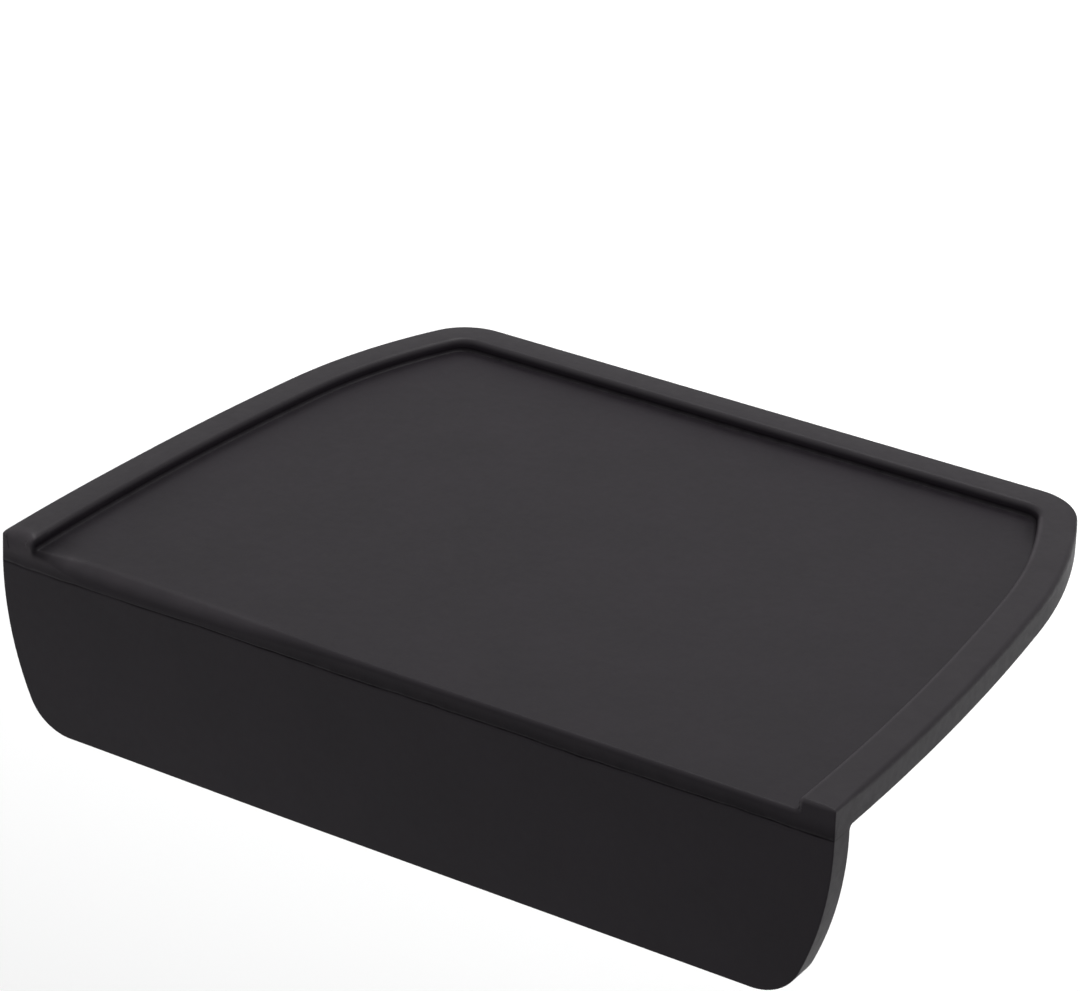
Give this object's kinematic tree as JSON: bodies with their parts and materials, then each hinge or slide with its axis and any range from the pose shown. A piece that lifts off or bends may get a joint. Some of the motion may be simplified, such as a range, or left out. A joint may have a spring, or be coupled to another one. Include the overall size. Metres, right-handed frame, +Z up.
{
  "type": "tamping mat",
  "caption": "Soft moulded mat with a shallow rimmed deck and a lip that hangs over a counter's front edge.",
  "frame": {"origin": "middle of the deck's flat underside, where the mat rests on the counter", "axes": "+X along the counter's front edge, +Y away from that edge towards the back of the counter, +Z up"},
  "size_m": [0.21, 0.15, 0.0479],
  "materials": {
    "silicone": "soft matt moulded silicone"
  },
  "bodies": {
    "root": {"tamping_mat": "silicone"}
  },
  "joints": []
}
